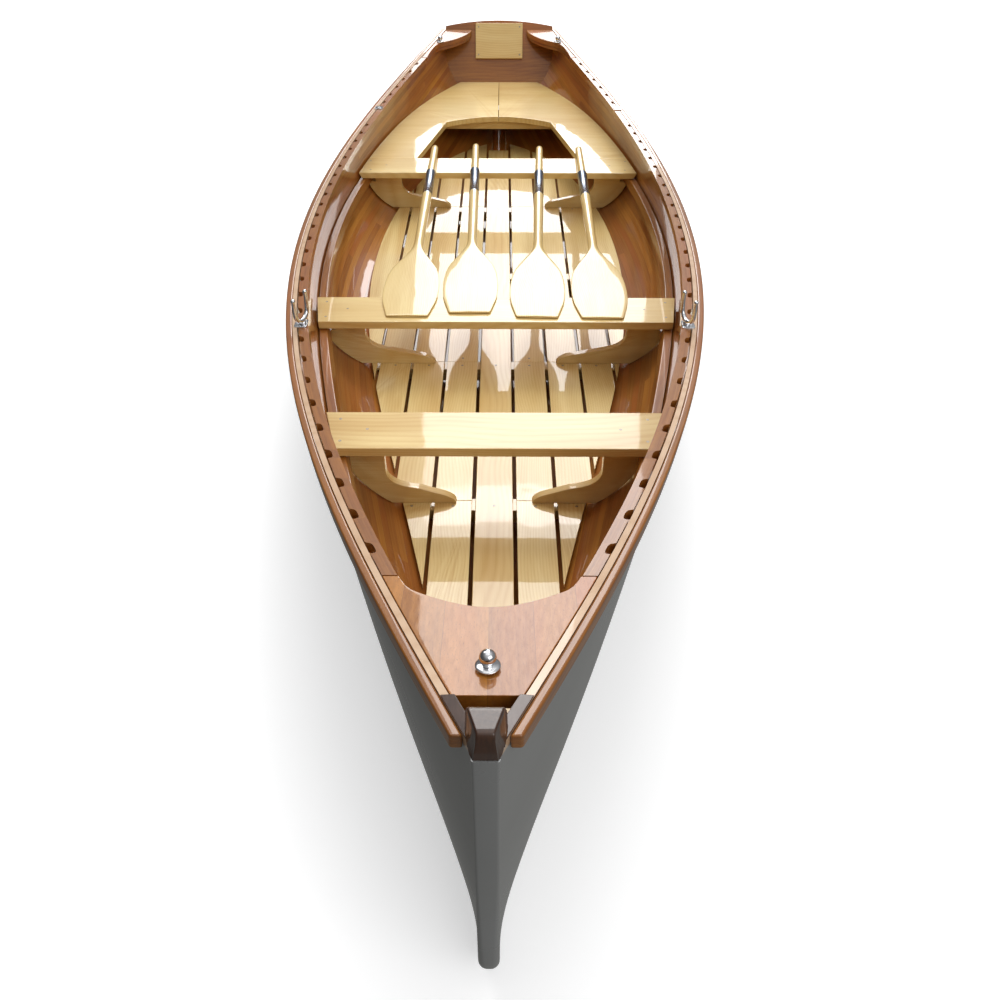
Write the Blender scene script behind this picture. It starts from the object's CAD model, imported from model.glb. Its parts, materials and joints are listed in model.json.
"""Looks of the planked pulling boat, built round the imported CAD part. Lengths in the shape code are millimetres;
s is the distance aft of the stem face, and to_m() turns a point (x, s, z) into the frame's metres."""

import json
import math

import bmesh
import bpy
import numpy as np
from mathutils import Matrix, Vector


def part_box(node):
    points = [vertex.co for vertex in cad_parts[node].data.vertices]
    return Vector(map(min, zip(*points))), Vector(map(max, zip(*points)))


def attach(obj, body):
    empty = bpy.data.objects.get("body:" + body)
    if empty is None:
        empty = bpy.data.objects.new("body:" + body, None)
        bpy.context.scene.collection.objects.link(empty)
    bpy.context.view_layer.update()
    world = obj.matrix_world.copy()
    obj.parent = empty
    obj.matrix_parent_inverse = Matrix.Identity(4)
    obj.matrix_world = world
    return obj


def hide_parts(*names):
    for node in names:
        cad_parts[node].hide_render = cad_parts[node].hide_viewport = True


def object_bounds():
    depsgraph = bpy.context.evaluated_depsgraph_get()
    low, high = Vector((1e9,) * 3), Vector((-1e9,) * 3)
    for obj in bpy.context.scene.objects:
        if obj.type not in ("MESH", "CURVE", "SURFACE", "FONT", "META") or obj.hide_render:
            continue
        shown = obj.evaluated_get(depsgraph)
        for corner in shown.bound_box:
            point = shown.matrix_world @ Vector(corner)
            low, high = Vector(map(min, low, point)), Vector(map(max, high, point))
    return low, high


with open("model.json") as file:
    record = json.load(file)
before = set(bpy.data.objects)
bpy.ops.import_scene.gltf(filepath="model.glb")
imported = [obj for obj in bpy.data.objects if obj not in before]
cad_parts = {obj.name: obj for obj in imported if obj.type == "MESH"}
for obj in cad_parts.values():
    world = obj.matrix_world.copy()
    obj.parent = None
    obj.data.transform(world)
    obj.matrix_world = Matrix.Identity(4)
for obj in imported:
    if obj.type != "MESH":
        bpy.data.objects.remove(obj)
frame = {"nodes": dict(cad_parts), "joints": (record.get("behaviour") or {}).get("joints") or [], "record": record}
CAD_BOX = [list(v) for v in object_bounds()]
MID = -CAD_BOX[0][1] * 1000
rng = np.random.default_rng(11)

# ---------------------------------------------------------------- the hull's lines, as in the CAD part
BOAT_L, RAB, KX, KEEL_H, TUCK, PLANK = 4950.0, 30.0, 20.0, 40.0, 215.0, 12.0
RUN = BOAT_L - RAB
RAKE = math.radians(28)
CROWN, TRANSOM_T, STRIP_H = 26.0, 24.0, 20.0
SIDES = (("port", 1), ("starboard", -1))


def bez(ctrl, u):
    c = [np.asarray(x, float) for x in ctrl]
    while len(c) > 1:
        c = [a * (1 - u) + b * u for a, b in zip(c, c[1:])]
    return c[0]


def clamp01(x):
    return np.clip(x, 0, 1)


def smooth(x):
    c = clamp01(x)
    return c * c * (3 - 2 * c)


def sheer_x(u):
    return bez([20, 390, 860, 600, 800, 570, 310], u)


def sheer_z(u):
    return bez([735, 482, 625, 419, 427, 590], u)


def rabbet_z(u):
    return KEEL_H + 62 * (1 - clamp01(u / 0.028)) ** 2.2 + (TUCK - KEEL_H) * np.maximum(0, (u - 0.6) / 0.4) ** 2.6


def lean(u):
    return math.tan(RAKE) * smooth((u - 0.78) / 0.22)


def section(u):
    w, z0 = sheer_x(u) - KX, rabbet_z(u)
    h = sheer_z(u) - z0
    a = bez([0.69, 0.33, 0.89, 1.48, 1.28, 0.42, 0.56], u)
    b = bez([0.22, 0.16, 0.08, 0.01, 0.03, 0.10, 0.11], u)
    c = bez([1.53, 0.40, 0.72, 1.71, 0.69, 0.96, 1.12], u)
    d = bez([0.36, 0.17, 0.42, 0.54, 0.54, 0.18, 0.30], u)
    return [KX + 0 * w, KX + a * w, KX + c * w, KX + w], [z0, z0 + b * h, z0 + d * h, z0 + h]


def skin(u, t, depth=0.0):
    """A point of the hull's outer skin at station u and height share t, or depth mm inside it."""
    u, t = np.broadcast_arrays(np.asarray(u, float), np.asarray(t, float))
    xs, zs = section(u)
    x, z = bez(xs, t), bez(zs, t)
    p = np.stack([x, RAB + RUN * u - lean(u) * (sheer_z(u) - z), z], -1)
    return p - depth * normal(u, t) if depth else p


def normal(u, t):
    e, u = 0.002, np.minimum(u, 1)
    u0, u1, t0, t1 = clamp01(u - e), clamp01(u + e), clamp01(t - e), clamp01(t + e)
    n = np.cross(skin(u1, t) - skin(u0, t), skin(u, t1) - skin(u, t0))
    return n / np.linalg.norm(n, axis=-1, keepdims=True)


def t_at(u, z):
    lo, hi = np.zeros_like(u + z, float), np.ones_like(u + z, float)
    for _ in range(18):
        m = (lo + hi) / 2
        high = bez(section(u)[1], m) > z
        hi, lo = np.where(high, m, hi), np.where(high, lo, m)
    return (lo + hi) / 2


def in_x(s, z):
    """Half-breadth inside the planking at distance s from the bow and height z."""
    s, z = np.broadcast_arrays(np.asarray(s, float), np.asarray(z, float))
    u = clamp01((s - RAB) / RUN)
    for _ in range(6):
        u = clamp01((s - RAB + lean(u) * (sheer_z(u) - z)) / RUN)
    t = t_at(u, z)
    return skin(u, t)[..., 0] - PLANK / normal(u, t)[..., 0]


def rail_z(s):
    return sheer_z((np.asarray(s, float) - RAB) / RUN)


def rail_x(s):
    return sheer_x((np.asarray(s, float) - RAB) / RUN)


def to_m(p, side=1):
    p = np.asarray(p, float)
    return np.stack([side * p[..., 0], p[..., 1] - MID, p[..., 2]], -1) / 1000


# ---------------------------------------------------------------- meshes
def finish_mesh(name, bm, mat, body, slot, nodes=(), bevel=0.0, segments=3, angle=34, sharp=True):
    """Turns a bmesh into a piece that rides on a body, with rounded edges where bevel is given."""
    bmesh.ops.recalc_face_normals(bm, faces=bm.faces)
    mesh = bpy.data.meshes.new(name)
    bm.to_mesh(mesh)
    bm.free()
    mesh.shade_smooth()
    obj = bpy.data.objects.new(name, mesh)
    bpy.context.scene.collection.objects.link(obj)
    obj.data.materials.append(mat)
    if bevel:
        b = obj.modifiers.new("edges", "BEVEL")
        b.width, b.segments, b.limit_method, b.angle_limit = bevel / 1000, segments, "ANGLE", math.radians(angle)
        w = obj.modifiers.new("normals", "WEIGHTED_NORMAL")
        w.keep_sharp = True
    elif sharp:
        mesh.set_sharp_from_angle(angle=math.radians(angle))
    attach(obj, body)
    if nodes:
        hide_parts(*nodes)
    return obj


def grid_faces(bm, verts, closed=False):
    m, n = len(verts), len(verts[0])
    for i in range(m - 1):
        for j in range(n if closed else n - 1):
            k = (j + 1) % n
            bm.faces.new((verts[i][j], verts[i][k], verts[i + 1][k], verts[i + 1][j]))


def lay_uv(bm, rings):
    """UV in metres: u along the rings, v round them."""
    uv = bm.loops.layers.uv.new("lay")
    p = np.array([[v.co[:] for v in r] for r in rings])
    along = np.concatenate([[0], np.cumsum(np.linalg.norm(np.diff(p.mean(1), axis=0), axis=1))])
    across = np.concatenate([np.zeros((len(p), 1)), np.cumsum(np.linalg.norm(np.diff(p, axis=1), axis=2), 1)], 1)
    place = {v: (along[i], across[i, j]) for i, r in enumerate(rings) for j, v in enumerate(r)}
    for f in bm.faces:
        for loop in f.loops:
            loop[uv].uv = place.get(loop.vert, (0, 0))


def add_rings(bm, rings, uv=True):
    """A closed solid through rings of points, all in metres, with flat ends."""
    verts = [[bm.verts.new(p) for p in r] for r in rings]
    grid_faces(bm, verts, closed=True)
    bm.faces.new(verts[0])
    bm.faces.new(verts[-1])
    if uv:
        lay_uv(bm, verts)
    return verts


def loft(name, rings, mat, body, slot, nodes=(), **kw):
    bm = bmesh.new()
    add_rings(bm, rings)
    return finish_mesh(name, bm, mat, body, slot, nodes, **kw)


def shell(name, outer, inner, side, mat, slot, nodes, **kw):
    """A thin curved sheet between two grids of points (m, n, 3), in millimetres, with its own UV."""
    bm = bmesh.new()
    a = [[bm.verts.new(p) for p in row] for row in to_m(outer, side)]
    b = [[bm.verts.new(p) for p in row] for row in to_m(inner, side)]
    grid_faces(bm, a)
    grid_faces(bm, b)
    m, n = len(a), len(a[0])
    for i in range(m - 1):
        for j in (0, n - 1):
            bm.faces.new((a[i][j], a[i + 1][j], b[i + 1][j], b[i][j]))
    for j in range(n - 1):
        for i in (0, m - 1):
            bm.faces.new((a[i][j], a[i][j + 1], b[i][j + 1], b[i][j]))
    uv = bm.loops.layers.uv.new("lay")
    p = np.asarray(outer) / 1000
    along = np.broadcast_to(p[:, -1:, 1], p.shape[:2])
    seg = np.linalg.norm(np.diff(p, axis=1), axis=2)
    down = np.concatenate([np.cumsum(seg[:, ::-1], 1)[:, ::-1], np.zeros((m, 1))], 1)
    place = {}
    for g in (a, b):
        for i in range(m):
            for j in range(n):
                place[g[i][j]] = (along[i, j] + (0 if side > 0 else 7.3), down[i, j] + (0 if side > 0 else 3.3))
    for f in bm.faces:
        for loop in f.loops:
            loop[uv].uv = place[loop.vert]
    return finish_mesh(name, bm, mat, "hull", slot, nodes, **kw)


def strip_of(rows, side):
    """Rings in metres from rows of four corners in millimetres."""
    return [to_m(r, side) for r in rows]


def add_prism(bm, outline, low, high, board=0.0, side=1):
    """Adds an outline of (x, s) between two heights; low and high are numbers or arrays of heights."""
    layer = bm.verts.layers.float.get("board") or bm.verts.layers.float.new("board")
    o = np.asarray(outline, float)
    lo, hi = np.broadcast_to(low, len(o)), np.broadcast_to(high, len(o))
    a = [bm.verts.new(p) for p in to_m(np.column_stack([o, lo]), side)]
    b = [bm.verts.new(p) for p in to_m(np.column_stack([o, hi]), side)]
    faces = [bm.faces.new(a), bm.faces.new(b)]
    for i in range(len(o)):
        k = (i + 1) % len(o)
        faces.append(bm.faces.new((a[i], a[k], b[k], b[i])))
    for v in a + b:
        v[layer] = board
    return faces


def add_lathe(bm, profile, place, n=40):
    """Adds a turned solid: profile is (r, z) in millimetres from the axis round to the axis again."""
    rings = []
    for r, z in profile:
        if r < 1e-6:
            rings.append([bm.verts.new(place @ Vector((0, 0, z / 1000)))])
        else:
            rings.append([bm.verts.new(place @ Vector((r * math.cos(a) / 1000, r * math.sin(a) / 1000, z / 1000)))
                          for a in np.linspace(0, 2 * math.pi, n, endpoint=False)])
    for p, q in zip(rings, rings[1:]):
        for i in range(n):
            k = (i + 1) % n
            f = [p[i % len(p)], q[i % len(q)], q[k % len(q)], p[k % len(p)]]
            f = [v for j, v in enumerate(f) if v not in f[:j]]
            if len(f) > 2:
                bm.faces.new(f)


def frame_at(x, s, z, tilt=0.0, turn=0.0):
    return (Matrix.Translation(to_m([x, s, z])) @ Matrix.Rotation(turn, 4, "Z") @ Matrix.Rotation(tilt, 4, "X"))


def add_screw(bm, place, r=4.0, proud=0.35, turn=0.0):
    """A flat screw head with a cross recess."""
    place = place @ Matrix.Rotation(turn, 4, "Z")
    n = 24
    rim = [[bm.verts.new(place @ Vector((k * r * math.cos(a) / 1000, k * r * math.sin(a) / 1000, z / 1000)))
            for a in np.linspace(0, 2 * math.pi, n, endpoint=False)]
           for k, z in ((1.0, proud - 2.4), (1.0, proud - 0.25), (0.93, proud))]
    grid_faces(bm, rim, closed=True)
    bm.faces.new(rim[0])
    w, g = 0.14 * r, 0.62 * r
    cross = [(g, -w), (g, w), (w, w), (w, g), (-w, g), (-w, w), (-g, w), (-g, -w), (-w, -w), (-w, -g), (w, -g),
             (w, -w)]
    top, low = ([bm.verts.new(place @ Vector((x / 1000, y / 1000, z / 1000))) for x, y in cross]
                for z in (proud, proud - 1.1))
    grid_faces(bm, [top, low], closed=True)
    bm.faces.new(low)
    edges = [bm.edges.get((rim[2][i], rim[2][(i + 1) % n])) for i in range(n)]
    edges += [bm.edges.get((top[i], top[(i + 1) % 12])) for i in range(12)]
    bmesh.ops.bridge_loops(bm, edges=edges)


def screws(name, places, mat, slot, nodes, r=4.0):
    bm = bmesh.new()
    for p in places:
        add_screw(bm, p, r=r, turn=float(rng.uniform(0, 1.5)))
    return finish_mesh(name, bm, mat, "hull", slot, nodes, angle=30)


# ---------------------------------------------------------------- materials
class Mat:
    """A node material with short calls for the nodes it needs."""

    def __init__(self, name):
        self.mat = bpy.data.materials.new(name)
        self.mat.use_nodes = True
        self.tree = self.mat.node_tree
        self.bsdf = self.tree.nodes["Principled BSDF"]

    def add(self, kind, inputs=None, **props):
        n = self.tree.nodes.new(kind)
        for k, v in props.items():
            setattr(n, k, v)
        for k, v in (inputs or {}).items():
            self.put(n.inputs[k], v)
        return n

    def put(self, socket, value):
        if isinstance(value, bpy.types.NodeSocket):
            self.tree.links.new(value, socket)
        else:
            socket.default_value = value

    def set(self, **values):
        for k, v in values.items():
            self.put(self.bsdf.inputs[k.replace("_", " ")], v)

    def math(self, op, a, b=0.0, c=0.0):
        return self.add("ShaderNodeMath", {0: a, 1: b, 2: c}, operation=op).outputs[0]

    def vec(self, x, y, z):
        return self.add("ShaderNodeCombineXYZ", {0: x, 1: y, 2: z}).outputs[0]

    def mix(self, fac, a, b):
        return self.add("ShaderNodeMix", {0: fac, 6: a, 7: b}, data_type="RGBA").outputs[2]

    def noise(self, vector, detail=2.0, rough=0.5, scale=1.0):
        return self.add("ShaderNodeTexNoise", {"Vector": vector, "Scale": scale, "Detail": detail,
                                               "Roughness": rough}).outputs["Fac"]

    def span(self, value, a, b, c=0.0, d=1.0):
        return self.add("ShaderNodeMapRange", {0: value, 1: a, 2: b, 3: c, 4: d}).outputs[0]

    def bump(self, height, strength, distance):
        return self.add("ShaderNodeBump", {"Height": height, "Strength": strength,
                                           "Distance": distance}).outputs["Normal"]

    def varnish(self, coat=1.0, wave=0.12):
        """A clear coat with the faint unevenness of brushed varnish."""
        p = self.add("ShaderNodeTexCoord").outputs["Object"]
        n = self.noise(p, detail=1.0, scale=9.0)
        self.set(Coat_Weight=coat, Coat_Roughness=self.span(self.noise(p, 3.0, scale=40.0), 0.35, 0.7, 0.02, 0.07),
                 Coat_IOR=1.52, Coat_Normal=self.bump(n, wave, 0.004))


def wood(name, dark, light, grain="y", uv=False, ring=0.006, ring_mix=0.5, streak=0.5, pores=0.0, tint=0.25,
         red=None, coat=1.0, width=None):
    """Varnished wood. grain is the object's axis along it; with uv the grain follows the piece's own length.
    width cuts the surface into glued strips of that width, each with its own shade."""
    m = Mat(name)
    if uv:
        p = m.add("ShaderNodeSeparateXYZ", {0: m.add("ShaderNodeUVMap", uv_map="lay").outputs[0]})
        g, a, b = p.outputs[0], p.outputs[1], 0.0
    else:
        p = m.add("ShaderNodeSeparateXYZ", {0: m.add("ShaderNodeTexCoord").outputs["Object"]}).outputs
        order = {"x": (0, 1, 2), "y": (1, 0, 2), "z": (2, 0, 1)}[grain]
        g, a, b = (p[i] for i in order)
    board = m.add("ShaderNodeAttribute", attribute_name="board").outputs["Fac"]
    seam = None
    if width:
        row = m.math("DIVIDE", a, width)
        idx = m.math("FLOOR", row)
        shift = m.add("ShaderNodeTexWhiteNoise", {"W": idx}, noise_dimensions="1D").outputs["Value"]
        piece = m.math("FLOOR", m.math("ADD", m.math("DIVIDE", g, 2.6), m.math("MULTIPLY", shift, 9.0)))
        board = m.math("ADD", m.math("MULTIPLY", idx, 1.37), m.math("MULTIPLY", piece, 5.11))
        edge = m.math("PINGPONG", row, 0.5)
        seam = m.span(edge, 0.0, 0.0006 / width, 1.0, 0.0)
    shade = m.add("ShaderNodeTexWhiteNoise", {"W": m.math("ADD", board, 0.37)}, noise_dimensions="1D").outputs
    off = m.math("MULTIPLY", board, 3.17)
    gg, aa, bb = m.math("ADD", g, off), m.math("ADD", a, m.math("MULTIPLY", board, 0.61)), b
    sway = m.noise(m.vec(m.math("MULTIPLY", gg, 1.1), m.math("MULTIPLY", aa, 2.0), off), 2.0)
    x = m.math("ADD", m.math("MULTIPLY", sway, 0.16), m.math("MULTIPLY", aa, 0.8))
    y = m.math("ADD", m.math("MULTIPLY", m.noise(m.vec(m.math("MULTIPLY", gg, 0.7), off, 4.0), 1.0), 0.10), bb)
    r = m.math("SQRT", m.math("ADD", m.math("MULTIPLY", x, x), m.math("MULTIPLY", y, y)))
    fine = m.noise(m.vec(m.math("MULTIPLY", gg, 3.5), m.math("MULTIPLY", aa, 210.0), m.math("MULTIPLY", bb, 210.0)),
                   5.0, 0.6)
    rings = m.math("PINGPONG", m.math("ADD", m.math("DIVIDE", r, ring), m.math("MULTIPLY", fine, 0.7)), 0.5)
    rings = m.math("POWER", m.math("MULTIPLY", rings, 2.0), 1.6)
    blot = m.noise(m.vec(m.math("MULTIPLY", gg, 2.2), m.math("MULTIPLY", aa, 16.0), m.math("MULTIPLY", bb, 16.0)),
                   3.0)
    tone = m.math("ADD", m.math("MULTIPLY", rings, ring_mix * 0.5), m.math("MULTIPLY", fine, streak))
    tone = m.math("ADD", tone, m.math("MULTIPLY", blot, 0.9))
    tone = m.math("ADD", tone, m.math("MULTIPLY", m.math("SUBTRACT", shade["Value"], 0.5), tint * 2))
    fac = m.span(tone, 0.35, 0.85 + 0.35 * ring_mix + 0.4 * streak)
    colour = m.mix(fac, (*light, 1), (*dark, 1))
    if red:
        colour = m.mix(m.span(m.noise(m.vec(m.math("MULTIPLY", gg, 0.9), m.math("MULTIPLY", aa, 7.0), off), 2.0),
                              0.45, 0.75, 0.0, 0.75), colour, (*red, 1))
    if pores:
        dash = m.noise(m.vec(m.math("MULTIPLY", gg, 45.0), m.math("MULTIPLY", aa, 900.0),
                             m.math("MULTIPLY", bb, 900.0)), 1.0)
        colour = m.mix(m.span(dash, 0.62, 0.72, 0.0, pores), colour, tuple(c * 0.35 for c in dark) + (1,))
    if seam is not None:
        colour = m.mix(m.math("MULTIPLY", seam, 0.55), colour, tuple(c * 0.3 for c in dark) + (1,))
    m.set(Base_Color=colour, Roughness=m.span(fine, 0.3, 0.7, 0.34, 0.50),
          Normal=m.bump(fine, 0.12, 0.0006), Specular_IOR_Level=0.35)
    m.varnish(coat)
    return m.mat


def gloss_paint(name, colour, dirt):
    m = Mat(name)
    p = m.add("ShaderNodeTexCoord").outputs["Object"]
    stretched = m.add("ShaderNodeMapping", {0: p, 3: (1.6, 0.5, 2.4)}).outputs[0]
    cloud = m.noise(stretched, 4.0, scale=1.3)
    speck = m.noise(p, 2.0, scale=160.0)
    c = m.mix(m.span(cloud, 0.35, 0.75, 0.0, 0.5), (*colour, 1), (*dirt, 1))
    c = m.mix(m.span(speck, 0.66, 0.8, 0.0, 0.25), c, tuple(k * 0.6 for k in dirt) + (1,))
    fair = m.noise(stretched, 2.0, scale=2.2)
    m.set(Base_Color=c, Roughness=m.span(cloud, 0.3, 0.7, 0.22, 0.34), Coat_Weight=0.7, Coat_IOR=1.5,
          Coat_Roughness=m.span(speck, 0.3, 0.8, 0.05, 0.12), Coat_Normal=m.bump(fair, 0.25, 0.01),
          Normal=m.bump(speck, 0.05, 0.0004))
    return m.mat


def metal(name, colour, rough, brushed=0.0, stain=(0.2, 0.2, 0.22)):
    m = Mat(name)
    p = m.add("ShaderNodeTexCoord").outputs["Object"]
    smear = m.noise(p, 4.0, scale=60.0)
    lines = m.noise(m.add("ShaderNodeMapping", {0: p, 3: (30, 900, 900)}).outputs[0], 3.0)
    m.set(Metallic=1.0, Base_Color=m.mix(m.span(smear, 0.5, 0.8, 0.0, 0.45), (*colour, 1), (*stain, 1)),
          Roughness=m.math("ADD", m.span(smear, 0.3, 0.7, rough, rough + 0.12), m.math("MULTIPLY", lines, brushed)),
          Normal=m.bump(lines, 0.03 + brushed * 0.3, 0.0003))
    return m.mat


MAHOGANY = dict(dark=(0.22, 0.070, 0.008), light=(0.54, 0.215, 0.028), red=(0.42, 0.110, 0.014), ring=0.012,
                ring_mix=0.25, streak=0.7, pores=0.4, tint=0.2, coat=0.8)
PINE = dict(dark=(0.64, 0.40, 0.12), light=(0.86, 0.67, 0.29), ring=0.007, ring_mix=0.5, streak=0.35, tint=0.2)
mahogany = wood("mahogany_y", **MAHOGANY)
mahogany_rail = wood("mahogany_rail", uv=True, **MAHOGANY)
mahogany_deck = wood("mahogany_deck", width=0.075, **MAHOGANY)
mahogany_x = wood("mahogany_x", grain="x", **MAHOGANY)
mahogany_z = wood("mahogany_z", grain="z", **MAHOGANY)
DARK = {**MAHOGANY, "dark": (0.035, 0.013, 0.006), "light": (0.11, 0.042, 0.014), "red": (0.07, 0.022, 0.008)}
dark_y, dark_z = wood("dark_mahogany_y", **DARK), wood("dark_mahogany_z", grain="z", **DARK)
pine_x = wood("pine_x", grain="x", **PINE)
pine_y = wood("pine_y", **PINE)
pine_paddle = wood("pine_paddle", **{**PINE, "ring": 0.005, "ring_mix": 0.7})
cedar = wood("cedar_strips", uv=True, width=0.024, dark=(0.24, 0.072, 0.010), light=(0.50, 0.200, 0.030),
             red=(0.36, 0.092, 0.015), ring=0.003, ring_mix=0.25, streak=0.6, tint=0.28)
ash = wood("light_strip", uv=True, dark=(0.60, 0.38, 0.22), light=(0.88, 0.67, 0.48), ring=0.004, streak=0.6)
paint = gloss_paint("hull_paint", (0.26, 0.265, 0.265), (0.20, 0.20, 0.195))
chrome = metal("chrome", (0.80, 0.81, 0.83), 0.06)
sleeve_steel = metal("sleeve_steel", (0.30, 0.34, 0.42), 0.12, 0.08, (0.08, 0.10, 0.16))
screw_steel = metal("screw_steel", (0.30, 0.27, 0.24), 0.30, 0.1, (0.10, 0.07, 0.05))

# ---------------------------------------------------------------- hull
US = (lambda a: a + 0.11 * np.sin(2 * math.pi * a) * np.where(a < 0.5, -1, -0.4))(np.linspace(0, 1, 150))
TS = np.linspace(0, 1, 44)
strip_t = t_at(US, sheer_z(US) - STRIP_H)
body_t = strip_t[:, None] * TS[None, :]
bands = [f"_{k}" for k in (1, 2, 3, 4)]
for name, side in SIDES:
    u = US[:, None]
    shell(f"hull_paint_{name}", skin(u, body_t), skin(u, body_t, 2.0), side, paint, "hull_paint", ())
    shell(f"cedar_planking_{name}", skin(u, body_t, 2.2), skin(u, body_t, PLANK), side, cedar, "planking",
          [f"planking_{name}{b}" for b in bands])
    top = strip_t[:, None] + (1 - strip_t[:, None]) * np.linspace(0, 1, 4)[None, :]
    a, b = skin(u, top), skin(u, top, PLANK)
    b[:, -1, 2] = a[:, -1, 2]
    shell(f"light_strip_{name}", a, b, side, ash, "light_strip", [f"sheer_strip_{name}"])

# keel and stem in one, round-edged at the forefoot
STEM_TOP, STEM_STEP, FOREFOOT_R, KEEL_END = 749, 734, 105, 4690
z_up = np.concatenate([[STEM_TOP, STEM_STEP + 1], np.linspace(STEM_STEP - 0.5, 112, 16)])
stem_c = [(0.0, z) for z in z_up]
stem_d = [(29.2 if z > STEM_STEP else 29.9, z) for z in z_up]
turn = np.radians(np.linspace(86, 4, 14))
keel_c = [(FOREFOOT_R * (1 - math.sin(a)), FOREFOOT_R * (1 - math.cos(a))) for a in turn]
keel_u = np.linspace(0.0005, 0.019, 14)
keel_d = [tuple(skin(v, 0.0)[1:] - [0, 0.1]) for v in keel_u]
run_u = np.linspace(0.024, 0.984, 90)
for v in run_u:
    s, z = skin(v, 0.0)[1:]
    keel_c.append((min(s, KEEL_END), 0.0))
    keel_d.append((s, z - 0.1))
path_c, path_d = np.array(stem_c + keel_c), np.array(stem_d + keel_d)
radius = np.interp(np.arange(len(path_c)), [0, 10, 17, 24, 32, 62, 200], [5, 6, 13, 19, 17, 9, 8])
rings = []
for c, d, r in zip(path_c, path_d, radius):
    out = (c - d) / np.linalg.norm(c - d)
    base = c - out * r
    arc = [(KX - r + r * math.cos(a), base + out * r * math.sin(a)) for a in np.radians(np.linspace(0, 90, 7))]
    half = [(KX, d)] + arc
    ring = [[x, *p] for x, p in half] + [[-x, *p] for x, p in half[::-1]]
    rings.append(to_m(ring))
loft("keel_and_stem", rings, paint, "hull", "hull_paint", ["keel", "stem"], angle=40)

# rails
OUT_W, OUT_H, IN_W, IN_H = 20.0, 32.0, 27.0, 26.0
for name, side in SIDES:
    u = np.clip(np.concatenate([[0.0052], US[US > 0.009]]), 0, 0.9985)
    hi, lo = skin(u, 1.0), skin(u, t_at(u, sheer_z(u) - OUT_H))
    w0, w1 = np.array([0.7, 0, 0]), np.array([OUT_W, 0, 0])
    rows = np.stack([lo + w0, lo + w1, hi + w1, hi + w0], 1)
    loft(f"outwale_{name}_rail", strip_of(rows, side), mahogany_rail, "hull", "mahogany", [f"outwale_{name}"],
         bevel=5, segments=4)

NOTCH_D, NOTCH_L, NOTCH_P = 13.0, 36.0, 113.0
notches = [527 + NOTCH_P * i for i in range(9)] + [1611 + NOTCH_P * i for i in range(18)] \
    + [3866 + NOTCH_P * i for i in range(6)]
SOCKETS, WELL_D = (1521.0, 3775.0), 23.0
INWALE_FROM, INWALE_TO = 444.0, 4518.0
bite = np.linspace(-1, 1, 13)
ss, cut = [INWALE_FROM], [0.0]
for kind, at in sorted([(0, s) for s in notches] + [(1, s) for s in SOCKETS], key=lambda k: k[1]):
    if kind:
        ss += [at - 12, at - 11.4, at + 11.4, at + 12]
        cut += [0, WELL_D, WELL_D, 0]
    else:
        ss += [at + NOTCH_L / 2 * b for b in bite]
        cut += [NOTCH_D * (1 - abs(b) ** 3.5) ** (1 / 2.2) for b in bite]
    ss += [at + NOTCH_P / 2]
    cut += [0.0]
ss, cut = np.array(ss + [INWALE_TO]), np.array(cut + [0.0])
keep = np.concatenate([[True], np.diff(ss) > 0.3]) & (ss <= INWALE_TO)
ss, cut = ss[keep], cut[keep]
z = rail_z(ss)
hi, lo = in_x(ss, z - 8) - 3, in_x(ss, z - IN_H) - 3
for name, side in SIDES:
    rows = np.stack([np.column_stack([lo - IN_W, ss, z - IN_H]), np.column_stack([lo - cut, ss, z - IN_H]),
                     np.column_stack([hi - cut, ss, z]), np.column_stack([hi - IN_W, ss, z])], 1)
    loft(f"inwale_{name}_rail", strip_of(rows, side), mahogany_rail, "hull", "mahogany", [f"inwale_{name}"],
         bevel=2.2, segments=3)


def riser_z(s):
    return 312 + 54 * (np.clip(3000 - s, 0, None) / 1840) ** 3.2


RISER_W, RISER_H = 28.0, 36.0
run = np.linspace(470, 4700, 110)
wall_hi, wall_lo = in_x(run, riser_z(run)) - 3.5, in_x(run, riser_z(run) - RISER_H) - 3.5
for name, side in SIDES:
    rows = np.stack([np.column_stack([wall_lo - RISER_W, run, riser_z(run) - RISER_H]),
                     np.column_stack([wall_lo, run, riser_z(run) - RISER_H]),
                     np.column_stack([wall_hi, run, riser_z(run)]),
                     np.column_stack([wall_hi - RISER_W, run, riser_z(run)])], 1)
    loft(f"riser_{name}_rail", strip_of(rows, side), mahogany_rail, "hull", "mahogany", [f"riser_{name}"],
         bevel=3, segments=3)

# foredeck
v = np.unique(np.concatenate([np.linspace(-1, 1, 33), [-0.85, -0.84, -0.82, -0.79, 0.79, 0.82, 0.84, 0.85]]))
ends = np.interp(abs(v), [0.78, 0.82, 0.84, 0.85], [0, 12, 26, 40]) + 216 + 77 * np.minimum(abs(v), 0.78) ** 2
DECK_FROM, DECK_T = 139, 32
ds = DECK_FROM + ends[None, :] * np.linspace(0, 1, 26)[:, None]


def deck(h):
    x = v[None, :] * (in_x(ds, rail_z(ds) - max(h, 8)) - 3)
    return np.stack([x, ds, rail_z(ds) - h], -1)


shell("foredeck_board", deck(DECK_T), deck(0), 1, mahogany_deck, "mahogany", ["foredeck"], bevel=2.5)

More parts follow.
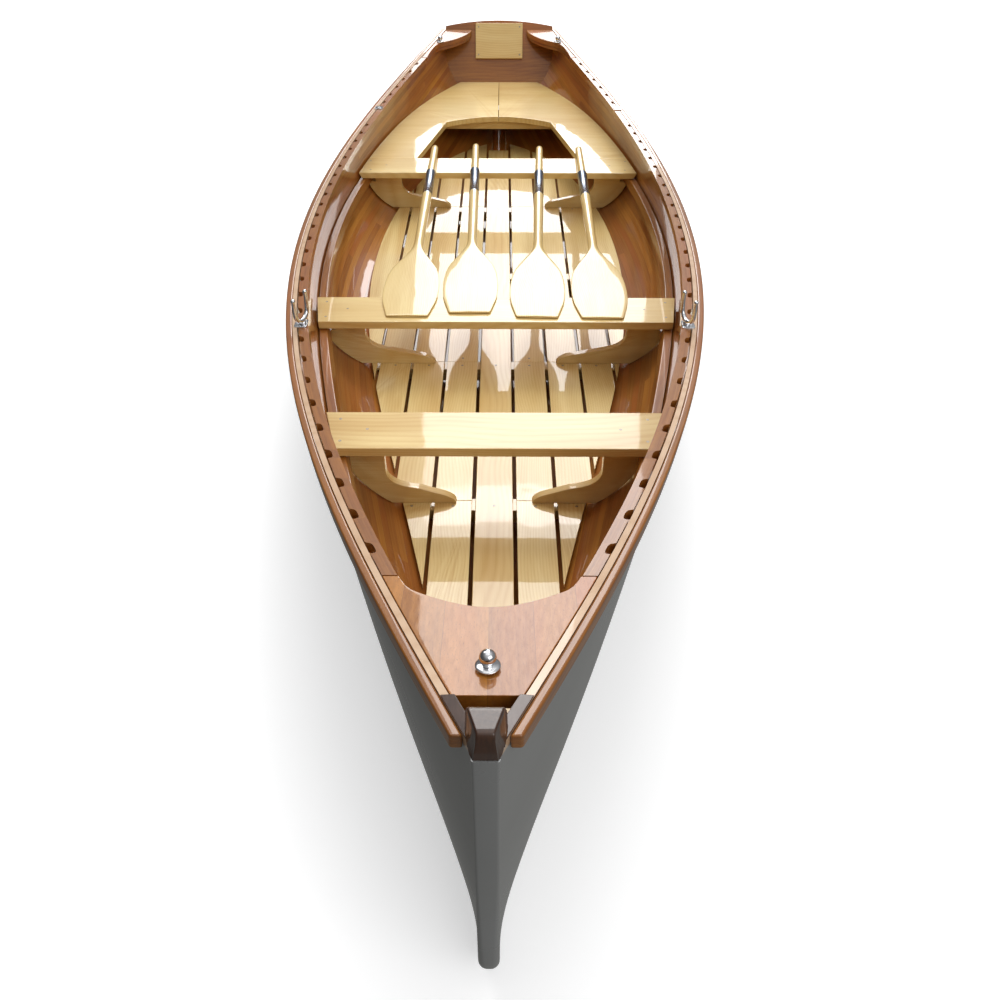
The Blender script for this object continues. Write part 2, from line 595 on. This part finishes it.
# stem head, a shaped block that widens downwards and aft
rings = []
for s in (2, 3, 5, 8, 11, 14, 20, 25, 29.6, 31, 36, 42, 47, 51, 55, 59, 62, 65):
    low = 750 if s < 30 else 737.5
    high = np.interp(s, [2, 8, 11, 14, 51, 55, 60, 65], [766, 789, 794, 797, 797, 795, 789, 774])
    w0 = np.interp(s, [2, 10, 18, 30, 56, 65], [17, 22, 24, 26, 30, 30.5])
    w1 = np.interp(s, [2, 8, 14, 30, 51, 60, 65], [16, 13, 13, 18, 25, 27, 29])
    k = np.linspace(0, 1, 9)
    flank = [(w0 + (w1 - w0) * q ** 0.7, low + (high - 3 - low) * q) for q in k]
    flank += [(w1 - 1.0, high - 1.0), (w1 - 3.2, high - 0.1)]
    ring = [(x, s, z) for x, z in flank] + [(-x, s, z) for x, z in flank[::-1]]
    rings.append(to_m(np.array(ring)))
loft("stem_head_block", rings, dark_z, "hull", "mahogany", ["stem_head"], bevel=2.0, segments=3, angle=50)

# bow cheeks: dark facings along the rails, between the stem head and the foredeck
s = np.linspace(42, 138, 20)
z = rail_z(s)
e, o = np.minimum(in_x(s, z - 8), in_x(s, z - 40)) - 1.5, rail_x(s) + 0.4
wall = np.stack([np.column_stack(c) for c in ((e, s, z - 40), (e, s, z + 2), (o, s, z + 0.5))], 1)
face = np.stack([np.column_stack(c) for c in ((e - 7, s, z - 40), (e - 7, s, z + 5), (o, s, z + 3))], 1)
for name, side in SIDES:
    shell(f"bow_cheek_{name}_facing", face, wall, side, dark_y, "mahogany", [f"bow_cheek_{name}"], bevel=1.8)

# mooring bollards
BALL = [(0, 0), (20, 0), (20, 1.3), (19.2, 2.2), (16, 3.4), (10, 4.6), (8.9, 5.4)]
BALL += [(13.5 * math.cos(a), 17 + 13.5 * math.sin(a)) for a in np.radians(np.arange(-52, 88, 8))] + [(0, 30.5)]
spots = {"bow_bollard_ball": ([(0, 201, float(rail_z(177)) + 0.6, -8.4)], ["bow_bollard"]),
         "quarter_bollard_balls": ([(x, 4745, float(rail_z(4745)) + 3.6, 7) for x in (-330, 330)],
                                   ["quarter_bollards"])}
for name, (places, nodes) in spots.items():
    bm = bmesh.new()
    for x, s, z, tilt in places:
        add_lathe(bm, BALL, frame_at(x, s, z, math.radians(tilt)), 48)
    finish_mesh(name, bm, chrome, "hull", "chrome", nodes, angle=28)


# ---------------------------------------------------------------- transom
def on_transom(p):
    """Points (across, up the slope, forward of the aft face) to (x, s, z)."""
    p = np.asarray(p, float)
    c, sn = math.cos(RAKE), math.sin(RAKE)
    top = float(sheer_z(1.0))
    return np.stack([p[..., 0], BOAT_L + sn * p[..., 1] - c * p[..., 2], top + c * p[..., 1] + sn * p[..., 2]], -1)


def rim(z, depth=PLANK - 0.3):
    """The transom's rim at distance z from its aft face, bevelled to the planking."""
    t = 0.03 + 0.97 * np.linspace(0, 1, 40)
    c, sn, top = math.cos(RAKE), math.sin(RAKE), float(sheer_z(1.0))
    u = np.full(40, 1 - z / (c * RUN))
    for _ in range(2):
        p = skin(u, t, depth)
        u = u + (sn * (p[:, 2] - top) - c * (p[:, 1] - BOAT_L) - z) / (c * RUN)
    p = skin(u, t, depth)
    edge = np.column_stack([p[:, 0], sn * (p[:, 1] - BOAT_L) + c * (p[:, 2] - top)])
    edge[-1, 1] = 0
    x = edge[-1, 0] * np.linspace(1, -1, 33)[1:-1]
    crown = np.stack([x, CROWN * (1 - (x / edge[-1, 0]) ** 2) / c], -1)
    return np.concatenate([edge, crown, edge[::-1] * [-1, 1]])


rings = [to_m(on_transom(np.column_stack([rim(z), np.full(111, z)]))) for z in (0, TRANSOM_T)]
loft("transom_board", rings, mahogany_x, "hull", "mahogany", ["transom"], bevel=4, segments=4, angle=60)

PAD_W, PAD_H, PAD_T = 270.0, 187.0, 16.0
pad_top = CROWN / math.cos(RAKE) - 18
pad = np.array([(-PAD_W / 2, pad_top - PAD_H), (PAD_W / 2, pad_top - PAD_H), (PAD_W / 2, pad_top),
                (-PAD_W / 2, pad_top)])
rings = [to_m(on_transom(np.column_stack([pad, np.full(4, TRANSOM_T + z)]))) for z in (0.2, PAD_T + 0.2)]
loft("motor_pad_board", rings, pine_x, "hull", "pine", ["motor_pad"], bevel=2.5)
places = []
for x in (-1, 1):
    for y in (0, 1):
        at = to_m(on_transom([x * (PAD_W / 2 - 17), pad_top - 20 - y * (PAD_H - 40), TRANSOM_T + PAD_T + 0.2]))
        places.append(Matrix.Translation(at) @ Matrix.Rotation(math.pi / 2 - RAKE, 4, "X"))
screws("motor_pad_screw_heads", places, screw_steel, "screw_steel", ["motor_pad_screws"], 4.5)

# quarter knees, each a thick curved piece with a second one set back under it
a = np.linspace(0, 1, 30)
ks, kx = bez([4524, 4594, 4892, 4594, 4863, 4918], a), bez([390, 389, 309, 388, 133, 160], a)
z = rail_z(ks)
for name, side in SIDES:
    bm = bmesh.new()
    for h0, h1, back in ((0, 23, 0), (23.6, 40, 10)):
        rows = []
        for h, out in ((h1, 0), (h1, 1), (h0, 1), (h0, 0)):
            s = ks - h * math.tan(RAKE) * a
            wall = in_x(s, z - max(h, 8)) - 3
            rows.append(np.column_stack([wall if out else np.minimum(kx + back, wall - 4), s, z - h]))
        add_rings(bm, strip_of(np.stack(rows, 1), side), uv=False)
    finish_mesh(f"quarter_knee_{name}_board", bm, mahogany, "hull", "mahogany", [f"quarter_knee_{name}"], bevel=3)

# ---------------------------------------------------------------- floor
FLOOR_Z, FLOOR_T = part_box("floorboard_centre")[1].z * 1000, 15.0
FLOOR_P, GAP = 117.3, 11.0
FLOOR_LOW = FLOOR_Z - FLOOR_T
HALF_W = (FLOOR_P - GAP) / 2
CENTRE = (470, 4190)
SEATS = [sum(v.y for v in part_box(f"thwart_{k}")) * 500 + MID for k in ("forward", "middle", "aft")]
SEAT_Z = [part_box(f"thwart_{k}")[1].z * 1000 for k in ("forward", "middle", "aft")]


def floor_x(s):
    return in_x(s, FLOOR_LOW) - 9


FLOOR_FROM, FLOOR_TO = 400, 4340
long_s = np.arange(FLOOR_FROM, FLOOR_TO + 1, 10.0)
long_x = floor_x(long_s)


def add_floor(bm, k, s0, s1, board, side):
    x0, x1 = k * FLOOR_P - HALF_W, k * FLOOR_P + HALF_W
    inside = long_s[long_x > x0]
    lo, hi = max(s0, inside.min() + 1), min(s1, inside.max() - 1)
    if hi - lo < 60:
        return
    s = np.linspace(lo, hi, 40)
    outer = np.clip(floor_x(s), x0 + 2, x1)
    flat = outer >= x1 - 1e-6
    keep = ~flat | ~(np.roll(flat, 1) & np.roll(flat, -1))
    keep[0] = keep[-1] = True
    add_prism(bm, [(x0, lo)] + list(zip(outer[keep], s[keep])) + [(x0, hi)], FLOOR_LOW, FLOOR_Z, board, side)


bm = bmesh.new()
add_prism(bm, [(-HALF_W, CENTRE[0]), (HALF_W, CENTRE[0]), (HALF_W, CENTRE[1]), (-HALF_W, CENTRE[1])],
          FLOOR_LOW, FLOOR_Z)
finish_mesh("floorboard_centre_plank", bm, pine_y, "hull", "pine", ["floorboard_centre"], bevel=1.6)
cuts = [FLOOR_FROM] + SEATS + [FLOOR_TO]
for name, side in SIDES:
    bm = bmesh.new()
    for k in (1, 2, 3, 4):
        for i in range(4):
            add_floor(bm, k, cuts[i] + 0.8, cuts[i + 1] - 0.8, (k * 5 + i) * 0.73 + (side > 0) * 9.1, side)
    finish_mesh(f"floorboards_{name}_planks", bm, pine_y, "hull", "pine", [f"floorboards_{name}"], bevel=1.6)
places = []
for k in range(4):
    for f in SEATS:
        for side in ([1] if k == 0 else [-1, 1]):
            for e in ([-22] if k == 0 else [-24, 24]):
                if floor_x(f + e) > k * FLOOR_P + 12:
                    places.append(frame_at(side * k * FLOOR_P, f + e, FLOOR_Z))
screws("floor_screw_heads", places, screw_steel, "screw_steel", ["floor_screws"])

# ---------------------------------------------------------------- thwarts and frames
SEAT_T, THWART_W = 27.0, (167.0, 174.0, 189.0)
places = []
for i, key in enumerate(("forward", "middle", "aft")):
    w, z = THWART_W[i], SEAT_Z[i]
    a, b = (float(in_x(SEATS[i] + e * w / 2, z - SEAT_T)) - 4 for e in (-1, 1))
    c = max(a, b)
    rings = []
    for dx, dz in ((-12, 0), (1, SEAT_T - 6), (1, SEAT_T)):
        fa, fb = min(a, c + dx), min(b, c + dx)
        cols = [(-fa, -w / 2), (fa, -w / 2), (fb, w / 2), (-fb, w / 2)]
        rings.append(to_m(np.array([(x, SEATS[i] + y, z - SEAT_T + dz) for x, y in cols])))
    bm = bmesh.new()
    add_rings(bm, rings, uv=False)
    layer = bm.verts.layers.float.new("board")
    for v in bm.verts:
        v[layer] = 2.3 + 1.9 * i
    finish_mesh(f"thwart_{key}_board", bm, pine_x, "hull", "pine", [f"thwart_{key}"], bevel=2.5, segments=4)
    for side in (-1, 1):
        for dx, dy in ((-34, 0.30), (-112, 0.02), (-46, -0.30)):
            x = side * (float(in_x(SEATS[i], z)) + dx)
            places.append(frame_at(x, SEATS[i] + dy * w, z))
screws("thwart_screw_heads", places, screw_steel, "screw_steel", ["thwart_screws"])

FRAME_T = 24.0
for i, (key, top_x, tip) in enumerate((("forward", 300, 108), ("middle", 448, 212), ("aft", 448, 222))):
    s = SEATS[i]
    zt, zb = SEAT_Z[i] - SEAT_T - 0.3, FLOOR_Z + 0.3
    zr = float(riser_z(s + FRAME_T / 2)) - RISER_H - 3
    zz = np.linspace(zb, zr, 24)
    hull = np.stack([np.minimum(in_x(s - FRAME_T / 2, zz), in_x(s + FRAME_T / 2, zz)) - 4, zz], -1)
    seat_x = hull[-1, 0] - RISER_W - 8
    k = np.linspace(0, 1, 16)
    bend = [(top_x, 262), (top_x - 2, 214), (top_x - 60, 206), (top_x - 92, 200)]
    toe = [(tip + 34, 178), (tip + 14, 170), (tip, 160), (tip, zb)]
    curve = [np.stack([bez([c[0] for c in q], k), bez([c[1] for c in q], k)], -1) for q in (bend, toe)]
    outline = np.concatenate([hull, [(seat_x, zr), (seat_x, zt), (top_x, zt)], curve[0], curve[1]])
    bm = bmesh.new()
    for side in (-1, 1):
        rings = [to_m(np.column_stack([outline[:, 0], np.full(len(outline), s + e), outline[:, 1]]), side)
                 for e in (-FRAME_T / 2, FRAME_T / 2)]
        add_rings(bm, rings, uv=False)
    layer = bm.verts.layers.float.new("board")
    for v in bm.verts:
        v[layer] = 31.0 + 1.7 * i + (v.co.x > 0) * 0.9
    finish_mesh(f"frames_{key}_knees", bm, pine_x, "hull", "pine", [f"frames_{key}"], bevel=2.2, segments=3, angle=40)

# ---------------------------------------------------------------- stern seat
fore = SEATS[2] + THWART_W[2] / 2 + 1.5
z = SEAT_Z[2] - SEAT_T
end = BOAT_L - math.tan(RAKE) * (float(sheer_z(1.0)) - z) - TRANSOM_T / math.cos(RAKE) - 4
hs = np.linspace(fore, end, 40)
hull = np.stack([in_x(hs, z) - 4, hs], -1)
well = [(380, fore), (268, 4035)]
arc = [(268 - 267 * q, 4035 + 92 * (1 - (1 - q) ** 2)) for q in np.linspace(0, 1, 14)[1:]]
for name, side in SIDES:
    bm = bmesh.new()
    seat = np.concatenate([hull, [(1, end)], [(1, arc[-1][1])], arc[-2::-1], well[::-1]])
    add_prism(bm, seat, z, z + SEAT_T, 50.0 + side, side)
    finish_mesh(f"stern_seat_{name}_board", bm, pine_x, "hull", "pine", [f"stern_seat_{name}"], bevel=2.5)

# ---------------------------------------------------------------- oarlock sockets and oarlocks
JOINTS = {j["name"]: j for j in frame["joints"]}
MOUNTS = {m["name"]: m for m in frame["record"]["mounts"]}


def bm_plate(bm, place, w, h, t, r, hole):
    """A plate with round corners and a round hole, its top at height t above place."""
    n = 8
    quarters = ((1, 1, 0), (-1, 1, 90), (-1, -1, 180), (1, -1, 270))
    corner = [(sx * (w / 2 - r), sy * (h / 2 - r), math.radians(a0 + 90 * k / (n - 1)))
              for sx, sy, a0 in quarters for k in range(n)]
    out = [(x + r * math.cos(a), y + r * math.sin(a)) for x, y, a in corner]
    inn = [(hole[0] + hole[2] * math.cos(math.atan2(y - hole[1], x - hole[0])),
            hole[1] + hole[2] * math.sin(math.atan2(y - hole[1], x - hole[0]))) for x, y in out]
    e = 0.8
    soft = [(x * (1 - 2 * e / w), y * (1 - 2 * e / h)) for x, y in out]
    levels = [(out, 0), (out, t - e), (soft, t), (inn, t), (inn, 0)]
    rings = [[bm.verts.new(place @ Vector((x / 1000, y / 1000, z / 1000))) for x, y in pts] for pts, z in levels]
    grid_faces(bm, rings + [rings[0]], closed=True)


SHANK_R, BORE_R = 6.35, 6.4
BARREL = [(BORE_R, -42), (9, -42), (9.2, 0.4), (9.2, 2.8), (8.6, 3.4), (7.2, 3.5), (6.8, 3.3), (BORE_R, 2.6),
          (BORE_R, -42)]
for name, side in SIDES:
    for key in ("forward", "aft"):
        lo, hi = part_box(f"socket_{key}_{name}")
        if key == "forward":
            at = Vector(JOINTS[f"oarlock_{name}_swivel"]["pos_m"])
        else:
            at = Vector(MOUNTS[f"oarlock_socket_aft_{name}"]["pos_m"])
        top = hi.z * 1000 - 3
        base = Matrix.Translation(Vector((at.x, at.y, top / 1000)))
        bm = bmesh.new()
        bm_plate(bm, base @ Matrix.Translation(Vector((side * 0.005, 0, 0))), 36, 44, 2.6, 7, (-side * 5, 0, 9.4))
        add_lathe(bm, BARREL, base, 48)
        for dx, dy in ((13, 15), (13, -15), (-6, 16), (-6, -16)):
            add_screw(bm, base @ Matrix.Translation(Vector((side * dx / 1000, dy / 1000, 0.0026))), 3.1, 0.3,
                      float(rng.uniform(0, 1.5)))
        finish_mesh(f"socket_{key}_{name}_plate", bm, chrome, "hull", "chrome", [f"socket_{key}_{name}"], angle=32)


def tube(bm, points, radii, n=20):
    """A round bar along points in a plane, in metres, with rounded ends from its own radii."""
    p = np.asarray(points)
    t = np.gradient(p, axis=0)
    t /= np.linalg.norm(t, axis=1, keepdims=True)
    side = np.cross(t[len(t) // 2], t[0])
    side /= np.linalg.norm(side)
    turns = np.linspace(0, 2 * math.pi, n, endpoint=False)
    rings = []
    for c, d, r in zip(p, t, radii):
        up = np.cross(side, d)
        rings.append([c + (side * math.cos(a) + up * math.sin(a)) * r for a in turns])
    add_rings(bm, rings, uv=False)


HORN_IN, HORN_R, HORN_TURN = 25.0, 6.0, 20.0
mid_r = HORN_IN + HORN_R
for name, side in SIDES:
    at = Vector(JOINTS[f"oarlock_{name}_swivel"]["pos_m"])
    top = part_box(f"socket_forward_{name}")[1].z + 0.0001
    base = Matrix.Translation(Vector((at.x, at.y, top)))
    bm = bmesh.new()
    add_lathe(bm, [(0, -52), (5.2, -52), (SHANK_R, -50.8), (SHANK_R, 0.2), (10.6, 0.6), (10.9, 1.8), (10.2, 4.4),
                   (8.8, 5.6), (7.6, 8), (6.4, 9), (0, 9)], base, 48)
    swing = base @ Matrix.Rotation(math.radians(side * HORN_TURN), 4, "Z")
    a = np.radians(np.linspace(-90, 0, 26))
    half = [(mid_r * math.cos(k), mid_r * math.sin(k), HORN_R + 1.1 * abs(math.sin(k)) ** 6)
            for k in a]
    half += [(mid_r + 1.5 * math.sin(h / 44 * 3.0), h, HORN_R - 1.3 * h / 44) for h in np.linspace(3, 38, 14)]
    cap = np.radians([0, 20, 40, 60, 76, 86])
    half += [(mid_r + 0.8, 41 + 6.6 * math.sin(k), 6.6 * math.cos(k) + 0.01) for k in cap]
    line = [(-y, z, r) for y, z, r in half[:0:-1]] + half
    pts = [swing @ Vector((0, y / 1000, (z + mid_r + 8) / 1000)) for y, z, r in line]
    tube(bm, [p[:] for p in pts], [r / 1000 for _, _, r in line], 24)
    finish_mesh(f"oarlock_{name}_cradle", bm, chrome, f"oarlock_{name}", "chrome", [f"oarlock_{name}"], angle=40)

# ---------------------------------------------------------------- paddles
PADDLE_L, SHAFT_R, BLADE_T, GRIP_AT, SLEEVE_L = 1640.0, 20.5, 10.0, 1045.0, 260.0
PADDLE_AT = [(-296, -299, 1943), (-88, -106, 1968), (137, 196, 1938), (355, 381, 1932)]
AXIS_Z = SEAT_Z[1] + 0.3 + BLADE_T / 2
RISE = math.atan((SEAT_Z[2] + SHAFT_R - 1.3 - AXIS_Z) / 1370)
EDGE = np.array([(0, 66), (5, 70), (95, 90), (140, 95), (190, 96.5), (240, 95.5), (290, 91), (341, 82), (396, 61),
                 (442, 42), (480, 29), (520, 20.5), (560, 17.8), (620, 18.1), (GRIP_AT, SHAFT_R)])


def round_off(x, y, at):
    """A smooth curve through the outline's points, with the tip's corners kept."""
    k = np.ones(9) / 9
    fine = np.arange(0, 700.0, 4)
    raw = np.interp(fine, x, y)
    soft = np.convolve(np.pad(raw, 4, mode="edge"), k, mode="valid")
    keep_tip = smooth((fine - 60) / 50)
    return np.interp(at, fine, raw * (1 - keep_tip) + soft * keep_tip)


def paddle_rings():
    ys = np.concatenate([[0, 1.2, 3, 6], np.arange(12, 620, 7.0), np.arange(640, GRIP_AT, 60.0), [GRIP_AT - 1]])
    ridge = ([0, 150, 230, 320, 420, 500, 560, GRIP_AT], [4.6, 4.9, 6.2, 9.5, 14, 16.8, 17.8, SHAFT_R])
    th = np.linspace(0, 2 * math.pi, 56, endpoint=False)
    rings = []
    for y in ys:
        hw = float(round_off(EDGE[:, 0], EDGE[:, 1], y)) if y < 600 else np.interp(y, EDGE[:, 0], EDGE[:, 1])
        flat = 1 - float(smooth((y - 300) / 230))
        spine = np.interp(y, *ridge)
        edge = np.interp(y, [0, 3, 200, 480, 560], [2.6, 3.4, 3.4, 9, 17.8])
        tip = 1 - 0.25 * max(0.0, 1 - y / 3)
        c, sn = np.cos(th), np.sin(th)
        power = 2 + 5 * flat
        x = hw * np.sign(c) * np.abs(c) ** (2 / power if power > 2 else 1)
        body = (1 - np.minimum(1, np.abs(x / hw)) ** power) ** (1 / power)
        if flat > 0.001:
            sigma = 13 + 0.10 * y if y < 400 else 60
            lift = spine * (1 - flat) + flat * (edge + (spine - edge) * np.exp(-((x / (sigma + 14)) ** 2)))
        else:
            lift = spine
        zz = np.where(np.abs(sn) < 1e-9, 0, np.sign(sn)) * lift * body * tip
        rings.append(np.column_stack([x, np.full(len(x), y), zz]))
    return rings


def grip_rings():
    y0 = GRIP_AT + SLEEVE_L
    prof = [(y0, 18.4), (y0 + 60, 18.1), (y0 + 150, 17.0), (PADDLE_L - 50, 16.1), (PADDLE_L - 16, 16)]
    prof += [(PADDLE_L - 16 + 16 * math.sin(a), 16 * math.cos(a)) for a in np.radians([15, 30, 45, 60, 72, 82])]
    th = np.linspace(0, 2 * math.pi, 56, endpoint=False)
    return [np.column_stack([r * np.cos(th), np.full(len(th), y), r * np.sin(th)]) for y, r in prof]


blade, grip = paddle_rings(), grip_rings()
for i, (a0, a1, tip) in enumerate(PADDLE_AT, 1):
    place = frame_at(a0, tip, AXIS_Z, RISE, math.atan2(a0 - a1, PADDLE_L))
    bm = bmesh.new()
    for rings in (blade, grip):
        add_rings(bm, [[place @ Vector(p / 1000) for p in r] for r in rings], uv=False)
    layer = bm.verts.layers.float.new("board")
    for v in bm.verts:
        v[layer] = 70.0 + 3.3 * i
    finish_mesh(f"paddle_{i}_wood", bm, pine_paddle, f"paddle_{i}", "paddle_wood", [f"paddle_{i}"], angle=50)
    y0, y1, r = GRIP_AT - 1, GRIP_AT + SLEEVE_L + 1, SHAFT_R
    prof = [(r - 1.6, y0), (r + 0.5, y0), (r + 0.9, y0 + 1), (r + 0.9, y0 + 5), (r + 0.3, y0 + 6.5),
            (r + 0.3, y1 - 6.5), (r + 0.9, y1 - 5), (r + 0.9, y1 - 1), (r + 0.5, y1), (r - 1.6, y1), (r - 1.6, y0)]
    bm = bmesh.new()
    add_lathe(bm, prof, place @ Matrix.Rotation(-math.pi / 2, 4, "X"), 56)
    finish_mesh(f"paddle_sleeve_{i}_tube", bm, sleeve_steel, f"paddle_{i}", "steel", [f"paddle_sleeve_{i}"], angle=40)

# ---------------------------------------------------------------- hidden CAD pieces keep their shape
HIDDEN = {"keelson": mahogany, "inner_stem": mahogany_z, "floor_battens": pine_x, "stern_beam": pine_x}
for node, mat in HIDDEN.items():
    mesh = frame["nodes"][node].data
    mesh.materials.clear()
    mesh.materials.append(mat)

# ---------------------------------------------------------------- studio
scene = bpy.context.scene
scene.view_settings.view_transform = "Standard"
floor_mesh = bpy.data.meshes.new("studio_floor")
size = 60.0
floor_mesh.from_pydata([(-size, -size, 0), (size, -size, 0), (size, size, 0), (-size, size, 0)], [], [(0, 1, 2, 3)])
floor = bpy.data.objects.new("studio_floor", floor_mesh)
scene.collection.objects.link(floor)
m = Mat("floor")
cloud = m.noise(m.add("ShaderNodeTexCoord").outputs["Object"], 3.0, scale=0.4)
pale = m.mix(cloud, (0.86, 0.86, 0.86, 1), (0.90, 0.90, 0.90, 1))
m.set(Base_Color=pale, Roughness=0.9, Emission_Color=pale, Emission_Strength=0.45)
floor_mesh.materials.append(m.mat)
floor.visible_diffuse = floor.visible_glossy = False

world = bpy.data.worlds.new("studio")
scene.world = world
world.use_nodes = True
tree = world.node_tree
back = tree.nodes["Background"]
ramp = tree.nodes.new("ShaderNodeValToRGB")
sep = tree.nodes.new("ShaderNodeSeparateXYZ")
coord = tree.nodes.new("ShaderNodeTexCoord")
tree.links.new(coord.outputs["Generated"], sep.inputs[0])
tree.links.new(sep.outputs["Z"], ramp.inputs[0])
side = tree.nodes.new("ShaderNodeMapRange")
dim = tree.nodes.new("ShaderNodeVectorMath")
dim.operation = "SCALE"
tree.links.new(sep.outputs["X"], side.inputs["Value"])
for key, value in zip(("From Min", "From Max", "To Min", "To Max"), (-0.85, 0.1, 0.35, 1.0)):
    side.inputs[key].default_value = value
tree.links.new(ramp.outputs[0], dim.inputs[0])
tree.links.new(side.outputs[0], dim.inputs["Scale"])
tree.links.new(dim.outputs[0], back.inputs["Color"])
for e, (at, colour) in zip(list(ramp.color_ramp.elements) + [ramp.color_ramp.elements.new(0.4)], (
        (0.0, (0.24, 0.24, 0.23, 1)), (0.85, (0.98, 0.99, 1.0, 1)), (0.40, (0.30, 0.30, 0.31, 1)))):
    e.position, e.color = at, colour
back.inputs["Strength"].default_value = 0.85


def panel(name, at, aim, w, h, power, colour=(1, 1, 1)):
    light = bpy.data.lights.new(name, "AREA")
    light.shape, light.size, light.size_y, light.energy, light.color = "RECTANGLE", w, h, power, colour
    obj = bpy.data.objects.new(name, light)
    obj.location = at
    obj.rotation_euler = (Vector(aim) - Vector(at)).to_track_quat("-Z", "Y").to_euler()
    obj.visible_camera = False
    scene.collection.objects.link(obj)


panel("sky_low", (0.5, 9.0, 5.6), (0.4, 0.0, 2.6), 3.5, 6.2, 330)
panel("sky_high", (0.5, 6.6, 10.4), (0.3, -1.5, 0.5), 5.6, 6.0, 520)
panel("left_soft", (-3.0, 2.0, 5.5), (0.7, 0.2, 0.4), 3.0, 4.0, 70)
panel("top_soft", (0.0, 0.5, 7.0), (0, 0, 0), 6.0, 8.0, 60)
panel("front_fill", (5.0, -7.0, 6.0), (0, 0.5, 0.4), 8.0, 5.0, 250)

# the camera that was fitted to the photograph
LENS, YAW, PITCH, ROLL, CAM_X, CAM_AHEAD, CAM_Z = 31.30, -0.09, 40.34, 0.12, 0.0195, 0.654, 1.7618
cam = bpy.data.cameras.new("photo_camera")
cam.sensor_width, cam.lens = 36.0, LENS
camera = bpy.data.objects.new("photo_camera", cam)
scene.collection.objects.link(camera)
yaw, pitch, roll = (math.radians(a) for a in (YAW, PITCH, ROLL))
fwd = Vector((math.sin(yaw) * math.cos(pitch), math.cos(yaw) * math.cos(pitch), -math.sin(pitch)))
right = Vector((math.cos(yaw), -math.sin(yaw), 0))
up = right.cross(fwd)
r2 = right * math.cos(roll) + up * math.sin(roll)
u2 = up * math.cos(roll) - right * math.sin(roll)
rot = Matrix((r2, u2, -fwd)).transposed()
camera.matrix_world = Matrix.Translation((CAM_X, -CAM_AHEAD - MID / 1000, CAM_Z)) @ rot.to_4x4()
scene.camera = camera
